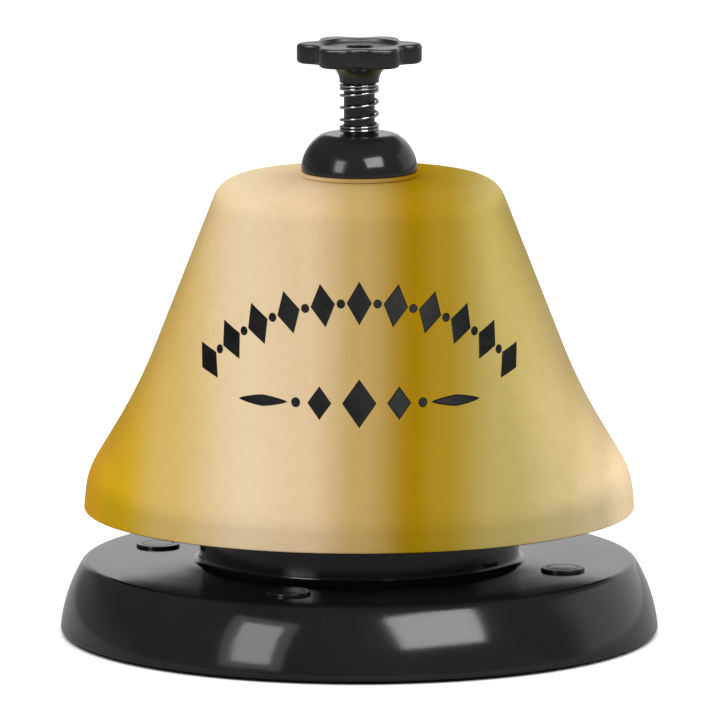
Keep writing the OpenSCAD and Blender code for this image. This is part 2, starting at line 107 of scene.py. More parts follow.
# Base
BASE_R = 42.5
FLANK_R = 21.0
FLANK_DROP = 1.0
PLATEAU_Z = 10.5
SHOULDER_EDGE_R = 1.3
RIM_EDGE_R = 0.5
DRUM_R = 22.7
DRUM_EDGE_R = 1.0
DECK_Z = BASE_HIGH.z
BASE_WALL = 2.2
RIM_Z = BASE_LOW.z
PLATE_TOP_Z = PLATE_HIGH.z
TUBE_R = 3.0
SCREW_R = 1.3
SCREW_LENGTH = 9.0
SCREW_X = (-5, 9)
SCREW_Y = (-13.4, 13.4)
RIB_COUNT = 16
RIB_HALF_T = 0.7
RIB_LOW_Z = 5.4
RIB_LENGTH = 16

# Rivets and feet
RIVET_COUNT = 4
RIVET_PITCH_R = 30.4
RIVET_ANGLE = math.radians(-19)
RIVET_HEAD_R = 3.1
RIVET_R = 1.5
RIVET_TAIL_R = 2.4
FOOT_R = 5.0
FOOT_STEM_R = 1.9
FOOT_ANGLE = RIVET_ANGLE + math.pi / RIVET_COUNT
FOOT_GRIPS_R = (1.0, 1.9, 2.8, 3.7)
FOOT_GRIP_HALF = 0.22
FOOT_GRIP_DEPTH = 0.35

# Bottom plate
PLATE_PRESS = 0.25  # depth of the coined middle and of the coined ring
PLATE_MIDDLE_R = 9.0
PLATE_RING_R = (21.0, 22.4)
PLATE_SLOPE = 0.6  # width of the slope beside a coined face
PLATE_BEND_R = 0.4
PLATE_EDGE_R = 0.3

# Cap, spring and knob
CAP_R = 8.24
CAP_RIM_H = 0.25
CAP_STEPS = ((5.8, 56), (2.0, 34))  # bends of the dome, as for the gong
CAP_SOCKET_H = 3.9
THREAD_R = 4.0
STEM_R = 2.2
RUN = 0.05  # clearance of a bore all round
SPRING_R = 2.6
SPRING_WIRE_R = 0.225
SPRING_LOW_TURNS = 2.2
SPRING_OPEN_TURNS = 2.8
SPRING_HIGH_TURNS = 2.0
SPRING_START = math.radians(-32)
SPRING_EASE = 0.12  # turns by which a change of pitch starts early and ends late
SPRING_GAP = 0.02  # between two closed turns
LOBE_COUNT = 6
KNOB_R = 8.85
LOBE_R = 2.6
LOBE_FILLET_R = 2.2
KNOB_RIM_T = 2.8
HUB_R = 2.8
HUB_FILLET_R = 2.65
KNOB_EDGE_R = 0.55
DISH_R = 5.6
DISH_DEPTH = 0.5
DISH_EDGE = 0.3
STEM_RING_Z = 60  # a ring of points part of the way up the stem, so that its faces aren't too long
PIN_R = 1.5
PIN_HEAD_R = 1.78
PIN_HEAD_T = 0.82
PIN_HEAD_GAP = 0.12


# ---------------------------------------------------------------- outlines

def rounded(corners, closed=True):
    """Points of an outline from corners (r, z, rounding). Each corner becomes an arc."""
    points = []
    count = len(corners)
    for i, (r, z, radius) in enumerate(corners):
        here = Vector((r, z))
        ends = not closed and i in (0, count - 1)
        if radius <= 0 or ends:
            points.append((r, z))
            continue
        before = Vector(corners[i - 1][:2]) - here
        after = Vector(corners[(i + 1) % count][:2]) - here
        u, v = before.normalized(), after.normalized()
        between = u.angle(v)
        reach = radius / math.tan(between / 2)
        bisector = (u + v).normalized()
        centre = here + bisector * (radius / math.sin(between / 2))
        first = here + u * reach - centre
        turn = math.pi - between
        side = 1 if u.x * v.y - u.y * v.x < 0 else -1
        steps = max(2, math.ceil(turn / ROUND_STEP))
        for k in range(steps + 1):
            a = side * turn * k / steps
            c, s = math.cos(a), math.sin(a)
            points.append((centre.x + first.x * c - first.y * s, centre.y + first.x * s + first.y * c))
    return points


def arc(centre, radius, start, stop, step):
    """Points along a circle, angles in degrees."""
    steps = max(2, math.ceil(abs(stop - start) / step))
    angles = [math.radians(start + (stop - start) * i / steps) for i in range(steps + 1)]
    return [(centre[0] + radius * math.cos(a), centre[1] + radius * math.sin(a)) for a in angles]


def follow(start, heading, steps, bend_step=1.6):
    """Points along straight runs (length, 0) and bends (radius, turn in degrees)."""
    x, z = start
    points = [(x, z)]
    for size, turn in steps:
        if turn == 0:
            pieces = max(1, math.ceil(size / STRAIGHT_STEP))
            for _ in range(pieces):
                x += size / pieces * math.cos(math.radians(heading))
                z += size / pieces * math.sin(math.radians(heading))
                points.append((x, z))
            continue
        side = math.copysign(size, turn)
        pieces = math.ceil(abs(turn) / bend_step)
        for _ in range(pieces):
            out = math.radians(heading + 90)
            turned = out + math.radians(turn / pieces)
            x += side * (math.cos(out) - math.cos(turned))
            z += side * (math.sin(out) - math.sin(turned))
            heading += turn / pieces
            points.append((x, z))
    return points


def moved_left(steps, gap):
    """The same runs and bends, for a line that lies a gap to the left."""
    return [(s, t) if t == 0 else (s - math.copysign(gap, t), t) for s, t in steps]


GONG_OUTER = follow((LIP_R, LIP_Z), LIP_HEADING, GONG_STEPS)


def gong_radius(z):
    """Outer radius of the gong's wall at a height, in mm."""
    for (r0, z0), (r1, z1) in zip(GONG_OUTER, GONG_OUTER[1:]):
        if z0 <= z <= z1:
            return r0 + (r1 - r0) * (z - z0) / (z1 - z0)
    return GONG_OUTER[-1][0]


# ---------------------------------------------------------------- meshes

def mm(x, y, z):
    return Vector((x, y, z)) * MM


def new_piece(name, bm, material, body, slot, replaces=()):
    """Makes the object, shades it smooth apart from sharp edges, and ties it to the frame."""
    bmesh.ops.recalc_face_normals(bm, faces=bm.faces)
    mesh = bpy.data.meshes.new(name)
    bm.to_mesh(mesh)
    bm.free()
    mesh.shade_smooth()
    mesh.set_sharp_from_angle(angle=SHARP)
    mesh.materials.append(material)
    piece = bpy.data.objects.new(name, mesh)
    bpy.context.scene.collection.objects.link(piece)
    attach(piece, body)
    if replaces:
        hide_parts(*replaces)
    return piece


def add_lathe(bm, outline, sides, centre=(0, 0)):
    """Turns a closed outline (r, z) in mm about a vertical axis. Points on the axis become one vertex."""
    rings = []
    for r, z in outline:
        if r < 1e-6:
            rings.append([bm.verts.new(mm(centre[0], centre[1], z))])
            continue
        ring = []
        for i in range(sides):
            a = TAU * i / sides
            ring.append(bm.verts.new(mm(centre[0] + r * math.cos(a), centre[1] + r * math.sin(a), z)))
        rings.append(ring)
    for low, high in zip(rings, rings[1:] + rings[:1]):
        if len(low) == 1 and len(high) == 1:
            continue
        for i in range(sides):
            j = (i + 1) % sides
            if len(low) == 1:
                bm.faces.new((low[0], high[j], high[i]))
            elif len(high) == 1:
                bm.faces.new((low[i], low[j], high[0]))
            else:
                bm.faces.new((low[i], low[j], high[j], high[i]))


def lathe(name, outline, sides, *rest, **more):
    """A piece turned from one outline; the rest goes to new_piece()."""
    bm = bmesh.new()
    add_lathe(bm, outline, sides)
    return new_piece(name, bm, *rest, **more)


def around(count, radius, first):
    """Centres of copies round the axis, in mm."""
    return [
        (radius * math.cos(first + TAU * i / count), radius * math.sin(first + TAU * i / count))
        for i in range(count)
    ]


# ---------------------------------------------------------------- materials

class Nodes:
    """Short forms for building a material's node tree."""

    def __init__(self, name):
        self.material = bpy.data.materials.new(name)
        self.material.use_nodes = True
        self.tree = self.material.node_tree
        self.shader = self.tree.nodes["Principled BSDF"]
        self.place = self.add("ShaderNodeTexCoord").outputs["Object"]

    def add(self, kind, inputs=None, **settings):
        node = self.tree.nodes.new(kind)
        for key, value in settings.items():
            setattr(node, key, value)
        for key, value in (inputs or {}).items():
            self.set(node.inputs[key], value)
        return node

    def set(self, socket, value):
        if isinstance(value, bpy.types.NodeSocket):
            self.tree.links.new(value, socket)
        else:
            socket.default_value = value

    def shade(self, **inputs):
        for key, value in inputs.items():
            self.set(self.shader.inputs[key.replace("_", " ")], value)

    def noise(self, scale, detail, stretch=(1, 1, 1)):
        placed = self.add("ShaderNodeMapping", {"Vector": self.place, "Scale": stretch})
        node = self.add("ShaderNodeTexNoise", {"Vector": placed.outputs[0], "Scale": scale, "Detail": detail})
        return node.outputs["Fac"]

    def map_range(self, value, low, high, to_low, to_high):
        node = self.add(
            "ShaderNodeMapRange",
            {"Value": value, "From Min": low, "From Max": high, "To Min": to_low, "To Max": to_high},
        )
        return node.outputs["Result"]

    def mix(self, share, a, b):
        """Colour a turning into colour b; the colour sockets of this node are 6, 7 and output 2."""
        node = self.add("ShaderNodeMix", data_type="RGBA")
        self.set(node.inputs[0], share)
        self.set(node.inputs[6], a)
        self.set(node.inputs[7], b)
        return node.outputs[2]

    def ramp(self, value, stops):
        node = self.add("ShaderNodeValToRGB", {"Fac": value})
        node.color_ramp.interpolation = "EASE"
        elements = node.color_ramp.elements
        elements.remove(elements[1])
        for i, (at, colour) in enumerate(stops):
            stop = elements[0] if i == 0 else elements.new(at)
            stop.position = at
            stop.color = colour + (1,)
        return node.outputs["Color"]

    def math(self, operation, a, b):
        return self.add("ShaderNodeMath", {0: a, 1: b}, operation=operation).outputs[0]

    def bump(self, height, strength, distance):
        node = self.add("ShaderNodeBump", {"Height": height, "Strength": strength, "Distance": distance})
        return node.outputs["Normal"]


def grey(value):
    return (value, value, value, 1)


# Plating colour across the bell, with painted reflection bands: place in mm to the right of the axis, and
# colour.
# The light stops are painted highlights, and the dark stops at 7.5 and 11.5 mm make a painted dark reflection
# band.
GOLD_WITH_PAINTED_REFLECTIONS = (
    (-38, (0.74, 0.42, 0.001)),
    (-34, (0.61, 0.385, 0.008)),
    (-27, (0.65, 0.45, 0.145)),
    (-16, (0.75, 0.59, 0.375)),
    (-8, (0.695, 0.52, 0.315)),
    (0, (0.50, 0.34, 0.12)),
    (7.5, (0.345, 0.195, 0.003)),
    (11.5, (0.375, 0.235, 0.015)),
    (20, (0.46, 0.365, 0.12)),
    (29, (0.54, 0.43, 0.21)),
    (33.5, (0.64, 0.51, 0.30)),
    (38, (0.95, 0.78, 0.52)),
)

# The crown is duller than the wall, so that it keeps its colour when it is seen nearly edge on.
CROWN_FADE = (61, 65)  # heights in mm between which the wall turns into the crown
CROWN_PAINTED_LIGHT = 1.12  # painted light: brightness of the crown's tone, raised to make up for the dimmer light the crown gets
SPECK_TONE = (0.30, 0.18, 0.03, 1)


def gong_gold():
    """Satin gold plating: painted reflection bands from side to side (painted highlights and a painted dark
    band), turning lines, clouds and fine specks.
    """
    n = Nodes("gong_gold")
    across, _, height = n.add("ShaderNodeSeparateXYZ", {"Vector": n.place}).outputs
    crown = n.map_range(height, CROWN_FADE[0] * MM, CROWN_FADE[1] * MM, 0, 1)
    cloud = n.noise(30, 3)
    fine = n.noise(520, 2)
    turning = n.noise(1.0, 2, (0, 0, 5200))
    low, high = GOLD_WITH_PAINTED_REFLECTIONS[0][0], GOLD_WITH_PAINTED_REFLECTIONS[-1][0]
    drift = n.map_range(cloud, 0.3, 0.7, -0.004, 0.004)
    place = n.math("ADD", n.map_range(across, low * MM, high * MM, 0, 1), drift)
    # painted reflections: the gold's colour runs in painted highlight bands and a painted dark band from side
    # to side
    tone = n.ramp(place, [((x - low) / (high - low), colour) for x, colour in GOLD_WITH_PAINTED_REFLECTIONS])
    tone = n.mix(n.map_range(fine, 0.45, 0.75, 0, 0.06), tone, SPECK_TONE)
    # painted light: the crown's colour is made brighter so that it looks as bright as the wall
    crown_painted_light = n.map_range(crown, 0, 1, 1.0, CROWN_PAINTED_LIGHT)
    tone = n.add("ShaderNodeVectorMath", {"Vector": tone, "Scale": crown_painted_light}, operation="SCALE").outputs[0]
    rough = n.map_range(n.math("ADD", n.math("MULTIPLY", fine, 0.5), cloud), 0.5, 1.0, 0.38, 0.44)
    relief = n.math("ADD", n.math("MULTIPLY", turning, 0.6), n.math("MULTIPLY", fine, 0.4))
    n.shade(
        Base_Color=tone,
        Metallic=n.map_range(crown, 0, 1, 0.65, 0),
        Specular_IOR_Level=n.map_range(crown, 0, 1, 0.08, 0),
        Specular_Tint=tone,
        Roughness=rough,
        Normal=n.bump(relief, 0.08, 0.00004),
    )
    return n.material


def black_gloss(name="black_moulding", value=0.006, rough=(0.09, 0.15)):
    """Gloss moulded plastic: faint flow lines, a few dull smudges and hairline scratches."""
    n = Nodes(name)
    smudge = n.noise(55, 4)
    speck = n.noise(900, 1)
    scratch = n.noise(260, 2, (1, 14, 3))
    smudged = (value * 1.7, value * 1.7, value * 1.7 * 1.04, 1)
    tone = n.mix(n.map_range(smudge, 0.3, 0.7, 0, 1), grey(value), smudged)
    tone = n.mix(n.map_range(speck, 0.74, 0.80, 0, 0.5), tone, grey(0.025))
    roughness = n.map_range(smudge, 0.35, 0.72, rough[0], rough[1])
    relief = n.math("ADD", n.math("MULTIPLY", scratch, 0.35), n.math("MULTIPLY", smudge, 0.65))
    n.shade(
        Base_Color=tone,
        Roughness=roughness,
        IOR=1.38,
        Normal=n.bump(relief, 0.06, 0.0002),
    )
    return n.material


def satin_black(name, value, rough, grain=1400):
    """Satin moulded plastic or rubber with a fine moulded grain."""
    n = Nodes(name)
    cloud = n.noise(120, 3)
    skin = n.noise(grain, 2)
    tone = n.mix(n.map_range(cloud, 0.3, 0.7, 0, 1), grey(value), grey(value * 1.6))
    n.shade(
        Base_Color=tone,
        Roughness=n.map_range(cloud, 0.3, 0.7, rough - 0.06, rough + 0.06),
        IOR=1.48,
        Normal=n.bump(skin, 0.12, 0.00006),
    )
    return n.material


def turned_metal(name, tone_a, tone_b, rough, stretch, wear=0.25):
    """Machined, drawn or rolled metal. stretch is how often the tool lines repeat along each axis."""
    n = Nodes(name)
    cloud = n.noise(90, 4)
    lines = n.noise(1.0, 3, stretch)
    worn = tuple(c * 0.6 for c in tone_a[:3]) + (1,)
    tone = n.mix(n.map_range(cloud, 0.3, 0.7, 0, 1), tone_a, tone_b)
    tone = n.mix(n.map_range(lines, 0.45, 0.75, 0, wear), tone, worn)
    n.shade(
        Base_Color=tone,
        Metallic=1.0,
        Roughness=n.map_range(lines, 0.3, 0.7, rough - 0.07, rough + 0.09),
        Normal=n.bump(lines, 0.1, 0.00005),
    )
    return n.material


def natural_nylon():
    """Milky moulded nylon."""
    n = Nodes("natural_nylon")
    cloud = n.noise(160, 3)
    tone = n.mix(n.map_range(cloud, 0.3, 0.7, 0, 1), (0.74, 0.71, 0.62, 1), (0.82, 0.80, 0.73, 1))
    n.shade(
        Base_Color=tone,
        Roughness=n.map_range(cloud, 0.3, 0.7, 0.38, 0.5),
        Subsurface_Weight=0.15,
        Subsurface_Radius=(0.002, 0.0015, 0.001),
        Normal=n.bump(n.noise(1500, 2), 0.1, 0.00005),
    )
    return n.material


def printed_ink():
    """Black screen-printed ink, slightly uneven."""
    n = Nodes("printed_ink")
    cloud = n.noise(700, 3)
    tone = n.mix(n.map_range(cloud, 0.35, 0.7, 0, 1), grey(0.003), grey(0.008))
    n.shade(
        Base_Color=tone,
        Roughness=n.map_range(cloud, 0.3, 0.7, 0.42, 0.58),
        Specular_IOR_Level=0.12,
        Normal=n.bump(cloud, 0.15, 0.00003),
    )
    return n.material


GOLD = gong_gold()
BLACK = black_gloss()
CAP_BLACK = black_gloss("cap_black", 0.008, (0.10, 0.17))
RIVET_BLACK = black_gloss("rivet_plastic", 0.010, (0.14, 0.22))
KNOB_BLACK = satin_black("knob_plastic", 0.008, 0.27, 900)
RUBBER = satin_black("rubber", 0.02, 0.62)
BRASS = turned_metal(
    "turned_brass", (0.66, 0.42, 0.12, 1), (0.74, 0.50, 0.18, 1), 0.26, (0, 0, 3000)
)
PLATE_STEEL = turned_metal(
    "plate_steel", (0.50, 0.51, 0.53, 1), (0.60, 0.60, 0.60, 1), 0.36, (60, 1800, 60)
)
FASTENER_STEEL = turned_metal(
    "fastener_steel", (0.58, 0.59, 0.61, 1), (0.68, 0.68, 0.69, 1), 0.25, (900, 900, 900)
)
SPRING_STEEL = turned_metal(
    "spring_steel", (0.32, 0.33, 0.35, 1), (0.42, 0.42, 0.43, 1), 0.14, (300, 300, 2500)
)
NYLON = natural_nylon()
INK = printed_ink()
GONG_INSIDE = turned_metal(
    "gong_inside", (0.035, 0.028, 0.020, 1), (0.06, 0.045, 0.03, 1), 0.42, (0, 0, 1800), 0.4
)


# ---------------------------------------------------------------- gong

def build_gong():
    """The gong, gold outside and dark inside."""
    inwards = math.radians(LIP_HEADING + 90)
    inner_start = (LIP_R + GONG_WALL * math.cos(inwards), LIP_Z + GONG_WALL * math.sin(inwards))
    inner = follow(inner_start, LIP_HEADING, moved_left(GONG_STEPS, GONG_WALL))
    lip_edge = rounded(
        [inner[1] + (0,), (inner[0][0], LIP_Z, LIP_ROUND), (LIP_R, LIP_Z, LIP_ROUND), GONG_OUTER[1] + (0,)],
        closed=False,
    )
    under_z = CROWN_Z - GONG_WALL
    hole_edge = rounded(
        [
            (CROWN_SEAT_R, CROWN_Z, 0),
            (GONG_HOLE_R, CROWN_Z, HOLE_ROUND),
            (GONG_HOLE_R, under_z, HOLE_ROUND),
            (CROWN_SEAT_R, under_z, 0),
        ],
        closed=False,
    )
    outline = lip_edge + GONG_OUTER[2:] + hole_edge + inner[:1:-1]
    gong = lathe("gong", outline, AROUND_LARGE, GOLD, "stand", "gong_gold", replaces=("bell",))
    gong.data.materials.append(GONG_INSIDE)
    for face in gong.data.polygons:
        outwards = face.normal.x * face.center.x + face.normal.y * face.center.y
        faces_down = face.normal.z < -0.7
        if outwards < 0 or faces_down:
            face.material_index = 1


def build_print():
    """A plain printer's ornament: an arched row of lozenges and dots over a straight divider."""
    bm = bmesh.new()
    ink_t = 0.02
    cell = 0.35  # about the size of one face
    sides = 32

    def on_gong(across, up):
        """Wraps a flat place (mm across from the front, mm high) onto the gong."""
        r = gong_radius(up) + ink_t
        a = across / r
        return mm(r * math.sin(a), -r * math.cos(a), up)

    def lozenge(centre, half_w, half_h, turn=0.0, power=1.0):
        """A filled lozenge; power 1 is straight-sided and 2 is an ellipse."""
        rows = max(4, math.ceil(half_h / cell))
        rings = []
        for k in range(rows + 1):
            ring = []
            for i in range(sides):
                a = TAU * i / sides
                c, s = math.cos(a), math.sin(a)
                grow = k / rows / (abs(c) ** power + abs(s) ** power) ** (1 / power)
                x, y = half_w * grow * c, half_h * grow * s
                ring.append((
                    centre[0] + x * math.cos(turn) - y * math.sin(turn),
                    centre[1] + x * math.sin(turn) + y * math.cos(turn),
                ))
            rings.append(ring)
        middle = bm.verts.new(on_gong(*centre))
        shells = [[bm.verts.new(on_gong(*p)) for p in ring] for ring in rings[1:]]
        for i in range(sides):
            j = (i + 1) % sides
            bm.faces.new((middle, shells[0][i], shells[0][j]))
            for low, high in zip(shells, shells[1:]):
                bm.faces.new((low[i], high[i], high[j], low[j]))

    def dot(centre, r):
        lozenge(centre, r, r, power=2.0)

    arch_r, arch_top, arch_half = 36.0, 50.9, math.radians(41)
    arch_count = 11
    arch_size, arch_dot_r = (1.75, 2.9), 0.6  # a size is half the width and half the height
    step = 2 * arch_half / (arch_count - 1)

    def on_arch(t):
        return arch_r * math.sin(t), arch_top - arch_r * (1 - math.cos(t))

    for i in range(arch_count):
        t = -arch_half + step * i
        lozenge(on_arch(t), *arch_size, -t)
        if i < arch_count - 1:
            dot(on_arch(t + step / 2), arch_dot_r)
    divider_z = 37.6
    small_x, dot_x, leaf_x = 5.6, 9.0, 14.0
    middle_size, small_size, leaf_size = (2.4, 3.2), (1.7, 2.2), (3.8, 0.75)
    divider_dot_r, leaf_power = 0.65, 1.3
    lozenge((0, divider_z), *middle_size)
    for side in (-1, 1):
        lozenge((side * small_x, divider_z), *small_size)
        dot((side * dot_x, divider_z), divider_dot_r)
        lozenge((side * leaf_x, divider_z), *leaf_size, power=leaf_power)
    piece = new_piece("gong_ornament", bm, INK, "stand", "gong_gold")
    shell = piece.modifiers.new("ink", "SOLIDIFY")
    shell.thickness = ink_t * MM
    shell.offset = 0


# ---------------------------------------------------------------- base

def build_base():
    """The moulding: a rim, a round flank, a flat top and a drum, hollow below for the bottom plate."""

    def flank_angle(z, radius):
        """Where a circle of this radius round the flank's centre reaches a height, in degrees."""
        return math.degrees(math.asin((z + FLANK_DROP) / radius))

    flank_centre = (BASE_R - math.sqrt(FLANK_R**2 - FLANK_DROP**2), -FLANK_DROP)
    edge_gap = FLANK_R - SHOULDER_EDGE_R
    edge_z = PLATEAU_Z - SHOULDER_EDGE_R
    edge_angle = flank_angle(edge_z, edge_gap)
    edge_centre = (flank_centre[0] + edge_gap * math.cos(math.radians(edge_angle)), edge_z)
    rim_top = RIM_Z + RIM_EDGE_R
    rim_angle = flank_angle(rim_top, FLANK_R)
    rim_centre = (flank_centre[0] + FLANK_R * math.cos(math.radians(rim_angle)) - RIM_EDGE_R, rim_top)
    inner_r = FLANK_R - BASE_WALL
    ceiling_z = PLATEAU_Z - BASE_WALL
    pocket_r = BASE_R - BASE_WALL - 0.1
    drum_inner_r = DRUM_R - BASE_WALL
    deck_under_z = DECK_Z - BASE_WALL
    outer_flat_r, inner_flat_r, deck_flat_r = 34, 28, 12  # rings of points that keep the flats' faces short
    pocket = rounded(
        [(pocket_r, PLATE_TOP_Z, 0), (pocket_r, RIM_Z, 0.3), (pocket_r + 1, RIM_Z, 0)],
        closed=False,
    )
    drum = rounded(
        [
            (edge_centre[0], PLATEAU_Z, 0),
            (outer_flat_r, PLATEAU_Z, 0),
            (inner_flat_r, PLATEAU_Z, 0),
            (DRUM_R, PLATEAU_Z, DRUM_EDGE_R),
            (DRUM_R, DECK_Z, DRUM_EDGE_R),
            (deck_flat_r, DECK_Z, 0),
            (0, DECK_Z, 0),
        ],
        closed=False,
    )
    inside = rounded(
        [
            (0, deck_under_z, 0),
            (drum_inner_r, deck_under_z, 0.6),
            (drum_inner_r, ceiling_z, 0.4),
            (outer_flat_r, ceiling_z, 0),
        ],
        closed=False,
    )
    outline = (
        pocket
        + arc(rim_centre, RIM_EDGE_R, -90, 0, 10)
        + arc(flank_centre, FLANK_R, rim_angle, edge_angle, 1.2)[1:]
        + arc(edge_centre, SHOULDER_EDGE_R, edge_angle, 90, 6)[1:]
        + drum[1:]
        + inside
        + arc(flank_centre, inner_r, flank_angle(ceiling_z, inner_r), flank_angle(PLATE_TOP_Z, inner_r), 3)
    )
    lathe("base_moulding", outline, AROUND_LARGE, BLACK, "stand", "black_moulding", replaces=("base_shell",))


def build_base_inside():
    """Ribs, rivet tubes and screw bosses under the moulding."""
    bm = bmesh.new()
    in_wall = BASE_WALL / 2  # how far each part reaches into the wall that carries it
    top_z = PLATEAU_Z - in_wall

    def add_tube(bore, low, high, centre):
        add_lathe(bm, [(bore, low), (TUBE_R, low), (TUBE_R, high), (bore, high)], AROUND_HIDDEN, centre)

    for centre in around(RIVET_COUNT, RIVET_PITCH_R, RIVET_ANGLE):
        add_tube(RIVET_R + RUN, PLATE_TOP_Z + CLEAR, top_z, centre)
    for x in SCREW_X:
        for y in SCREW_Y:
            add_tube(SCREW_R + RUN, DECK_Z - SCREW_LENGTH, DECK_Z - in_wall, (x, y))
    for i in range(RIB_COUNT):
        a = RIVET_ANGLE + math.pi / RIB_COUNT + TAU * i / RIB_COUNT
        along = Vector((math.cos(a), math.sin(a)))
        across = Vector((-along.y, along.x)) * RIB_HALF_T
        start = along * (DRUM_R - in_wall)
        stop = along * (DRUM_R - in_wall + RIB_LENGTH)
        corners = [start - across, stop - across, stop + across, start + across]
        low = [bm.verts.new(mm(c.x, c.y, RIB_LOW_Z)) for c in corners]
        high = [bm.verts.new(mm(c.x, c.y, top_z)) for c in corners]
        bm.faces.new(low[::-1])
        bm.faces.new(high)
        for k in range(4):
            j = (k + 1) % 4
            bm.faces.new((low[k], low[j], high[j], high[k]))
    new_piece("base_ribs_and_bosses", bm, BLACK, "stand", "black_moulding")


def build_rivets():
    """Rivets with a flat head and a ring pressed into it."""
    bm = bmesh.new()
    top = RIVET_HIGH.z
    under = PLATEAU_Z + CLEAR
    tail_top = PLATE_LOW.z - CLEAR
    groove_r = RIVET_HEAD_R * 0.72
    groove = 0.08  # depth and half width of the ring
    outline = rounded(
        [
            (0, RIVET_LOW.z, 0),
            (RIVET_TAIL_R, RIVET_LOW.z, 0.3),
            (RIVET_TAIL_R, tail_top, 0.1),
            (RIVET_R, tail_top, 0),
            (RIVET_R, under, 0),
            (RIVET_HEAD_R, under, 0.03),
            (RIVET_HEAD_R, top, 0.12),
            (groove_r + groove, top, 0.03),
            (groove_r, top - groove, 0.03),
            (groove_r - groove, top, 0.03),
            (0, top, 0),
        ],
        closed=False,
    )
    for centre in around(RIVET_COUNT, RIVET_PITCH_R, RIVET_ANGLE):
        add_lathe(bm, outline, AROUND_FASTENER, centre)
    new_piece("rivets", bm, RIVET_BLACK, "stand", "rivet_plastic", replaces=("cover_rivets",))


def build_feet():
    """Rubber feet with concentric grip rings."""
    bm = bmesh.new()
    groove_z = FOOT_GRIP_DEPTH
    corners = [(0, groove_z, 0)]
    for r in FOOT_GRIPS_R:
        inside, outside = r - FOOT_GRIP_HALF, r + FOOT_GRIP_HALF
        corners += [(inside, groove_z, 0.08), (r, 0.0, 0.06), (outside, groove_z, 0.08)]
    pad_top = PLATE_LOW.z - CLEAR
    plate_top = PLATE_TOP_Z + CLEAR
    barb_r, tip_r = FOOT_STEM_R + 0.8, FOOT_STEM_R - 0.4
    corners += [
        (FOOT_R - 0.75, groove_z, 0.05),
        (FOOT_R - 0.6, 0.0, 0.15),
        (FOOT_R, 0.0, 0.35),
        (FOOT_R, pad_top, 0.2),
        (FOOT_STEM_R, pad_top, 0),
        (FOOT_STEM_R, plate_top, 0),
        (barb_r, plate_top, 0.1),
        (tip_r, FOOT_TOP_Z, 0.2),
        (0, FOOT_TOP_Z, 0),
    ]
    outline = rounded(corners, closed=False)
    for centre in around(RIVET_COUNT, RIVET_PITCH_R, FOOT_ANGLE):
        add_lathe(bm, outline, AROUND_FASTENER, centre)
    new_piece("feet", bm, RUBBER, "stand", "rubber", replaces=("rubber_feet",))


def build_bottom_plate():
    """Steel disc with a middle and a ring coined from below, drilled for rivets and feet."""
    bm = bmesh.new()
    low, high = PLATE_LOW.z, PLATE_TOP_Z
    edge = (PLATE_HIGH.x - PLATE_LOW.x) / 2
    raised = low + PLATE_PRESS
    ring_in, ring_out = PLATE_RING_R
    outline = rounded(
        [
            (0, raised, 0),
            (PLATE_MIDDLE_R, raised, PLATE_BEND_R),
            (PLATE_MIDDLE_R + PLATE_SLOPE, low, PLATE_BEND_R),
            (ring_in - PLATE_SLOPE, low, PLATE_BEND_R),
            (ring_in, raised, PLATE_BEND_R),
            (ring_out, raised, PLATE_BEND_R),
            (ring_out + PLATE_SLOPE, low, PLATE_BEND_R),
            (edge, low, PLATE_EDGE_R),
            (edge, high, PLATE_EDGE_R),
            (0, high, 0),
        ],
        closed=False,
    )
    add_lathe(bm, outline, AROUND_LARGE)
    plate = new_piece("base_plate", bm, PLATE_STEEL, "stand", "plate_steel", replaces=("bottom_plate",))
    drill = bmesh.new()
    for pin_r, angle in ((RIVET_R, RIVET_ANGLE), (FOOT_STEM_R, FOOT_ANGLE)):
        r = pin_r + RUN
        hole = [(0, low - 1), (r, low - 1), (r, high + 1), (0, high + 1)]
        for centre in around(RIVET_COUNT, RIVET_PITCH_R, angle):
            add_lathe(drill, hole, AROUND_HOLE, centre)
    bmesh.ops.recalc_face_normals(drill, faces=drill.faces)
    cut_out(plate, drill)


def cut_out(piece, tool_bm):
    """Cuts the tool's shape out of the piece for good."""
    mesh = bpy.data.meshes.new("tool")
    tool_bm.to_mesh(mesh)
    tool_bm.free()
    tool = bpy.data.objects.new("tool", mesh)
    bpy.context.scene.collection.objects.link(tool)
    cut = piece.modifiers.new("cut", "BOOLEAN")
    cut.operation = "DIFFERENCE"
    cut.solver = "EXACT"
    cut.object = tool
    graph = bpy.context.evaluated_depsgraph_get()
    done = bpy.data.meshes.new_from_object(piece.evaluated_get(graph))
    piece.modifiers.clear()
    piece.data = done
    bpy.data.objects.remove(tool)
    done.shade_smooth()
    done.set_sharp_from_angle(angle=SHARP)


# ---------------------------------------------------------------- cap, ring, spring and knob

def build_crown_ring():
    """The thin gold ring under the cap."""
    low, high = RING_LOW.z, RING_HIGH.z
    edge = (RING_HIGH.x - RING_LOW.x) / 2
    hole, edge_round = THREAD_R + 0.1, 0.18
    outline = rounded([(hole, low, 0), (edge, low, edge_round), (edge, high, edge_round), (hole, high, 0)])
    lathe("crown_ring", outline, AROUND_SMALL, GOLD, "stand", "gong_gold", replaces=("crown_washer",))


def build_cap():
    """Dome with a flat top, a socket for the post's thread and a bore for the stem."""
    low, high = CAP_LOW.z, CAP_HIGH.z
    socket_top = low + CAP_SOCKET_H
    bore = STEM_R + RUN
    thread = THREAD_R + RUN
    bottom = rounded(
        [(thread, low + 1, 0), (thread, low, 0.2), (CAP_R, low, 0.1), (CAP_R, low + CAP_RIM_H, 0)],
        closed=False,
    )
    side = follow((CAP_R, low + CAP_RIM_H), 90, CAP_STEPS, 4.0)
    top = rounded(
        [side[-1] + (0,), (bore, high, 0.12), (bore, socket_top, 0), (thread, socket_top, 0)], closed=False
    )
    outline = bottom[:-1] + side[:-1] + top
    return lathe("cap", outline, AROUND_SMALL, CAP_BLACK, "stand", "black_moulding", replaces=("dome_cap",))


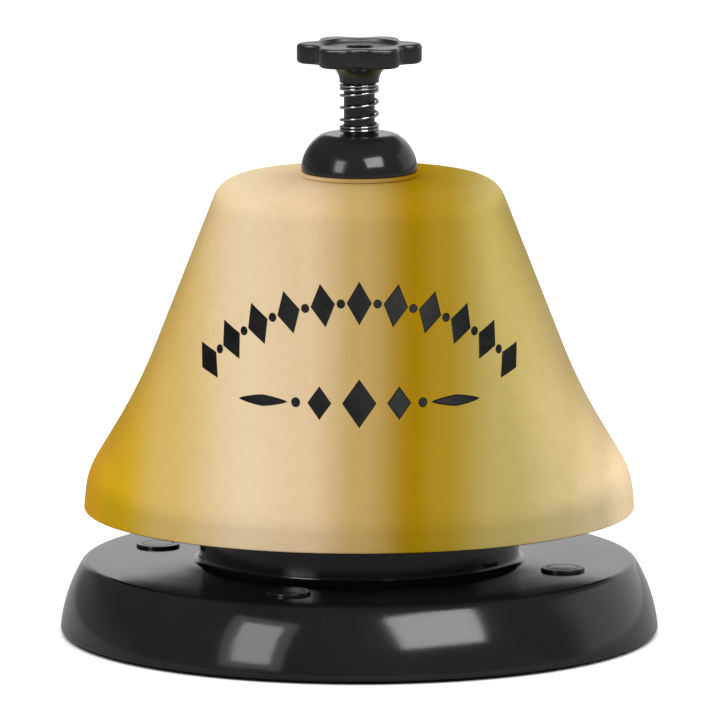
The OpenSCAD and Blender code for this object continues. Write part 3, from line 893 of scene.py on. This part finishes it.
def build_spring():
    """Round wire wound right-handed, with closed ends cut square."""
    low, high = CAP_HIGH.z, HUB_Z
    end_pitch = 2 * SPRING_WIRE_R + SPRING_GAP
    closed_turns = SPRING_LOW_TURNS + SPRING_HIGH_TURNS
    turns = SPRING_OPEN_TURNS + closed_turns
    open_rise = (high - low) - 2 * SPRING_WIRE_R - closed_turns * end_pitch
    sides, per_turn = 16, 72

    def bent(x):
        """Nought below zero and x above it, with a soft change between the two."""
        if x <= -SPRING_EASE:
            return 0.0
        if x >= SPRING_EASE:
            return x
        return (x + SPRING_EASE) ** 2 / (4 * SPRING_EASE)

    def rise(t):
        """Height of the wire after t turns."""
        opened = bent(t - SPRING_LOW_TURNS) - bent(t - SPRING_LOW_TURNS - SPRING_OPEN_TURNS)
        return t * end_pitch + opened * (open_rise / SPRING_OPEN_TURNS - end_pitch)

    bm = bmesh.new()
    count = math.ceil(turns * per_turn)
    rings = []
    for i in range(count + 1):
        t = turns * i / count
        a = SPRING_START + TAU * t
        centre = Vector((SPRING_R * math.cos(a), SPRING_R * math.sin(a), low + SPRING_WIRE_R + rise(t)))
        out = Vector((math.cos(a), math.sin(a), 0))
        ring = []
        for k in range(sides):
            b = TAU * k / sides
            p = centre + SPRING_WIRE_R * (out * math.cos(b) + Vector((0, 0, 1)) * math.sin(b))
            ring.append(bm.verts.new(mm(*p)))
        rings.append(ring)
    for low_ring, high_ring in zip(rings, rings[1:]):
        for k in range(sides):
            j = (k + 1) % sides
            bm.faces.new((low_ring[k], low_ring[j], high_ring[j], high_ring[k]))
    bm.faces.new(rings[0][::-1])
    bm.faces.new(rings[-1])
    piece = new_piece("coil_spring", bm, SPRING_STEEL, "stand", "spring_steel", replaces=("return_spring",))
    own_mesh(piece)


def lobed(angle, inset):
    """Radius of the knob's outline at an angle, moved inwards by inset: round lobes joined by fillets."""
    sector = TAU / LOBE_COUNT
    half = sector / 2
    a = abs((angle + half) % sector - half)
    lobe_d = KNOB_R - LOBE_R
    join = LOBE_R + LOBE_FILLET_R
    fillet_d = lobe_d * math.cos(half) + math.sqrt(join**2 - (lobe_d * math.sin(half)) ** 2)
    share = (LOBE_R - inset) / join
    tangent_x = lobe_d + (fillet_d * math.cos(half) - lobe_d) * share
    tangent_y = fillet_d * math.sin(half) * share
    if a <= math.atan2(tangent_y, tangent_x):
        r = LOBE_R - inset
        return lobe_d * math.cos(a) + math.sqrt(r**2 - (lobe_d * math.sin(a)) ** 2)
    r = LOBE_FILLET_R + inset
    b = half - a
    return fillet_d * math.cos(b) - math.sqrt(r**2 - (fillet_d * math.sin(b)) ** 2)


def build_knob():
    """The knob is a stack of rings: round ones up the stem and hub, lobed ones round the rim."""
    top = KNOB_HIGH.z
    under = top - KNOB_RIM_T
    edge = KNOB_EDGE_R
    dish_z = top - DISH_DEPTH
    hub_low_z = HUB_Z + CLEAR
    fillet_low_z = under - HUB_FILLET_R
    head_z = PIN_TOP_Z - PIN_HEAD_T
    hole = PIN_HEAD_R + PIN_HEAD_GAP
    bore = PIN_R + RUN
    rings = []  # kind, radius or inset, height, and for a ring in between its share and inset

    def round_rings(points):
        rings.extend([("round", r, z, 0) for r, z in points])

    def lobed_rings(centre_z, start, stop, steps=6):
        for i in range(steps + 1):
            a = math.radians(start + (stop - start) * i / steps)
            rings.append(("lobed", edge - edge * math.cos(a), centre_z + edge * math.sin(a), 0))

    def blend_rings(r, z, quarters):
        """Flat rings at quarters of the way from a circle to the lobed outline."""
        for i in quarters:
            rings.append(("between", r, z, (i / 4, edge)))

    round_rings(
        rounded(
            [
                (bore, KNOB_LOW.z, 0),
                (STEM_R, KNOB_LOW.z, 0.2),
                (STEM_R, STEM_RING_Z, 0),
                (STEM_R, hub_low_z, 0),
                (HUB_R, hub_low_z, 0.05),
                (HUB_R, fillet_low_z, 0),
            ],
            closed=False,
        )
    )
    round_rings(arc((HUB_R + HUB_FILLET_R, fillet_low_z), HUB_FILLET_R, 180, 92, 6)[1:])
    blend_rings(HUB_R + HUB_FILLET_R, under, (1, 2, 3))
    lobed_rings(under + edge, -90, 0)
    lobed_rings(top - edge, 0, 90)
    dish_start_r = DISH_R + DISH_EDGE
    blend_rings(dish_start_r, top, (3, 2, 1))
    round_rings(
        rounded(
            [
                (dish_start_r, top, 0),
                (DISH_R, top, DISH_EDGE * 0.6),
                (DISH_R - DISH_EDGE, dish_z, 0.35),
                (hole + 1.2, dish_z, 0),
                (hole, dish_z, 0.15),
                (hole, head_z, 0.1),
                (bore, head_z, 0),
                (bore, STEM_RING_Z, 0),
            ],
            closed=False,
        )
    )
    sides = 40 * LOBE_COUNT
    bm = bmesh.new()
    made = []
    for kind, value, z, more in rings:
        ring = []
        for i in range(sides):
            a = TAU * i / sides
            if kind == "round":
                r = value
            elif kind == "lobed":
                r = lobed(a, value)
            else:
                share, inset = more
                r = value + (lobed(a, inset) - value) * share
            ring.append(bm.verts.new(mm(r * math.cos(a), r * math.sin(a), z)))
        made.append(ring)
    for low_ring, high_ring in zip(made, made[1:] + made[:1]):
        for k in range(sides):
            j = (k + 1) % sides
            bm.faces.new((low_ring[k], low_ring[j], high_ring[j], high_ring[k]))
    new_piece("knob", bm, KNOB_BLACK, "knob", "knob_plastic", replaces=("push_knob",))


# ---------------------------------------------------------------- parts that keep their CAD shape

EDGE_BEVEL = 0.12
EDGE_ANGLE = math.radians(50)  # edges that turn more than this are softened


def dress(node, material):
    """Gives a CAD node its material and softens its edges."""
    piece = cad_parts[node]
    piece.data.materials.clear()
    piece.data.materials.append(material)
    bevel = piece.modifiers.new("edge", "BEVEL")
    bevel.width = EDGE_BEVEL * MM
    bevel.segments = 2
    bevel.limit_method = "ANGLE"
    bevel.angle_limit = EDGE_ANGLE
    bevel.harden_normals = True


CAD_FINISHES = {
    "bridge_frame": PLATE_STEEL,
    "bridge_screws": FASTENER_STEEL,
    "bell_post": BRASS,
    "lock_washer": FASTENER_STEEL,
    "post_nut": FASTENER_STEEL,
    "support_washer": RUBBER,
    "plunger_pin": FASTENER_STEEL,
    "retaining_clip": SPRING_STEEL,
    "rocker_lever": NYLON,
    "pivot_pin": FASTENER_STEEL,
    "pivot_washers": NYLON,
    "pivot_clip": SPRING_STEEL,
    "hammer_wire": SPRING_STEEL,
    "hammer_head": BRASS,
}

build_gong()
build_print()
build_base()
build_base_inside()
build_rivets()
build_feet()
build_bottom_plate()
build_crown_ring()
cap = build_cap()
cap.visible_shadow = False  # the crown is evenly bright right up to the cap
build_spring()
build_knob()
for node, finish in CAD_FINISHES.items():
    dress(node, finish)


# ---------------------------------------------------------------- studio

def build_floor():
    """Pale paper; the bell mirrors a darker paper than the one that the camera sees."""
    bm = bmesh.new()
    bmesh.ops.create_grid(bm, x_segments=4, y_segments=4, size=6.0)
    mesh = bpy.data.meshes.new("floor")
    bm.to_mesh(mesh)
    bm.free()
    floor = bpy.data.objects.new("floor", mesh)
    bpy.context.scene.collection.objects.link(floor)
    n = Nodes("floor_paper")
    mirrored = n.add("ShaderNodeLightPath").outputs["Is Glossy Ray"]
    fibre = n.map_range(n.noise(60, 4), 0.3, 0.7, 0, 1)
    paper = n.mix(fibre, grey(0.88), grey(0.90))
    n.shade(Base_Color=n.mix(mirrored, paper, grey(0.25)), Roughness=0.75)
    mesh.materials.append(n.material)
    return floor


def from_bell(azimuth, elevation, distance):
    """A place seen from the bell: azimuth is degrees to the right of the camera."""
    a, e = math.radians(azimuth), math.radians(elevation)
    return AIM + distance * Vector((math.sin(a) * math.cos(e), -math.cos(a) * math.cos(e), math.sin(e)))


def add_light(name, place, towards, width, height, brightness, lit):
    """A rectangular light of an even brightness that lights only the objects of one group."""
    light = bpy.data.lights.new(name, "AREA")
    light.shape = "RECTANGLE"
    light.size, light.size_y = width, height
    light.energy = brightness * math.pi * width * height
    lamp = bpy.data.objects.new(name, light)
    bpy.context.scene.collection.objects.link(lamp)
    lamp.location = place
    lamp.rotation_euler = (towards - place).to_track_quat("-Z", "Y").to_euler()
    lamp.light_linking.receiver_collection = lit


def soft_box(lit, name, azimuth, elevation, width, height, brightness):
    """A light of an angular size in degrees, as the bell sees it."""
    span = [2 * LIGHT_DISTANCE * math.tan(math.radians(angle / 2)) for angle in (width, height)]
    add_light(name, from_bell(azimuth, elevation, LIGHT_DISTANCE), AIM, *span, brightness, lit)


TENT_BRIGHTNESS = 0.9
TENT_PANELS = 6
TENT_TOP = 60  # elevations in degrees of the panels' upper and lower edges
TENT_EDGE = 2
TENT_EDGE_BEHIND = 9  # below it the gold mirrors the world's white
TENT_BEHIND = (120, 180)  # azimuths of the panels that have it


def build_tent(lit):
    """Six upright panels and a ceiling: the even light that satin gold needs."""
    panel_w = 2 * LIGHT_DISTANCE * math.tan(math.pi / TENT_PANELS)
    top = LIGHT_DISTANCE * math.tan(math.radians(TENT_TOP))
    for i in range(TENT_PANELS):
        azimuth = 360 // TENT_PANELS * i
        edge = TENT_EDGE_BEHIND if azimuth in TENT_BEHIND else TENT_EDGE
        low = LIGHT_DISTANCE * math.tan(math.radians(edge))
        middle = from_bell(azimuth, 0, LIGHT_DISTANCE) + Vector((0, 0, (low + top) / 2))
        level = Vector((0, 0, middle.z))
        add_light(f"tent_{i}", middle, level, panel_w, top - low, TENT_BRIGHTNESS, lit)
    ceiling = AIM + Vector((0, 0, top))
    add_light("tent_top", ceiling, AIM, 2 * LIGHT_DISTANCE, 2 * LIGHT_DISTANCE, TENT_BRIGHTNESS, lit)


def light_group(name, objects):
    """A collection that lights can be limited to."""
    group = bpy.data.collections.new(name)
    for item in objects:
        group.objects.link(item)
    return group


# Soft boxes: name, azimuth, elevation, width and height in degrees, brightness.
GLOSS_LIGHTS = (
    ("key_right", 34, 33, 33, 26, 11.0),
    ("fill_left", -42, 20, 16, 28, 8.0),
    ("fill_left_halo", -42, 20, 26, 36, 1.6),
)
KNOB_LIGHTS = (
    ("knob_top", 0, 80, 80, 40, 6.0),
    ("knob_right", 34, 33, 50, 40, 1.5),
)
FLOOR_LIGHT = ("floor_wash", 0, 89, 110, 110, 2.3)


def build_lights(floor):
    """A tent for the gold, soft boxes for the knob and for the rest, and a wash for the floor."""
    gold_names, knob_names = {"gong", "crown_ring"}, {"knob"}
    pieces = [o for o in bpy.context.scene.objects if o.type == "MESH" and o is not floor]
    gold = light_group("gold_lit", [o for o in pieces if o.name in gold_names])
    satin = light_group("knob_lit", [o for o in pieces if o.name in knob_names])
    rest = light_group("gloss_lit", [o for o in pieces if o.name not in gold_names | knob_names])
    ground = light_group("floor_lit", [floor])
    build_tent(gold)
    for light in GLOSS_LIGHTS:
        soft_box(rest, *light)
    for light in KNOB_LIGHTS:
        soft_box(satin, *light)
    soft_box(ground, *FLOOR_LIGHT)


WHITE_GLOW = 0.72  # brightness behind the bell, over the dim one
DIM_GLOW = 0.16

# Where the white lies, in parts of a direction of length 1: x right, y away from the camera, z up.
WHITE_FROM_Y = (-0.05, 0.25)
WHITE_UP_TO_Z = (0.26, 0.42)
WHITE_TILT = -0.2  # the upper edge rises to the right
FLAG_X = (-0.45, -0.2)  # a dark card on the left
FLAG_SHARE = 0.15  # the part of the white that it lets through


def build_world():
    """White low down behind the bell, less so on the left, and dim elsewhere; the camera sees white."""
    world = bpy.data.worlds.new("studio")
    bpy.context.scene.world = world
    world.use_nodes = True
    tree = world.node_tree
    new, link = tree.nodes.new, tree.links.new
    back = tree.nodes["Background"]
    back.inputs["Color"].default_value = (1, 1, 1, 1)
    split = new("ShaderNodeSeparateXYZ")
    link(new("ShaderNodeTexCoord").outputs["Generated"], split.inputs[0])

    def step(value, low, high, to_low, to_high):
        node = new("ShaderNodeMapRange")
        node.interpolation_type = "SMOOTHSTEP"
        link(value, node.inputs["Value"])
        limits = {"From Min": low, "From Max": high, "To Min": to_low, "To Max": to_high}
        for key, number in limits.items():
            node.inputs[key].default_value = number
        return node.outputs["Result"]

    def math_node(operation, a, b):
        node = new("ShaderNodeMath")
        node.operation = operation
        for socket, value in zip(node.inputs, (a, b)):
            if isinstance(value, bpy.types.NodeSocket):
                link(value, socket)
            else:
                socket.default_value = value
        return node.outputs[0]

    x, y, z = split.outputs
    behind = step(y, *WHITE_FROM_Y, 0, 1)
    height = math_node("ADD", z, math_node("MULTIPLY", x, WHITE_TILT))
    low = step(height, *WHITE_UP_TO_Z, 1, 0)
    left_flag = step(x, *FLAG_X, FLAG_SHARE, 1)
    white = math_node("MULTIPLY", math_node("MULTIPLY", behind, low), left_flag)
    glow = math_node("ADD", math_node("MULTIPLY", white, WHITE_GLOW), DIM_GLOW)
    seen = math_node("MAXIMUM", new("ShaderNodeLightPath").outputs["Is Camera Ray"], glow)
    link(seen, back.inputs["Strength"])


def build_camera():
    """Nine degrees down, from far enough for the flat perspective of a product picture."""
    pitch = CAMERA_PITCH
    camera = bpy.data.cameras.new("camera")
    camera.lens = CAMERA_LENS
    camera.sensor_width = 36
    camera.shift_x = 0.001  # the bell stands a touch left of the middle
    camera.clip_start = 0.05
    camera.clip_end = 50
    holder = bpy.data.objects.new("camera", camera)
    bpy.context.scene.collection.objects.link(holder)
    holder.location = AIM + CAMERA_DISTANCE * Vector((0, -math.cos(pitch), math.sin(pitch)))
    holder.rotation_euler = (math.pi / 2 - pitch, 0, 0)
    bpy.context.scene.camera = holder


build_lights(build_floor())
build_world()
build_camera()
bpy.context.scene.view_settings.view_transform = "Standard"
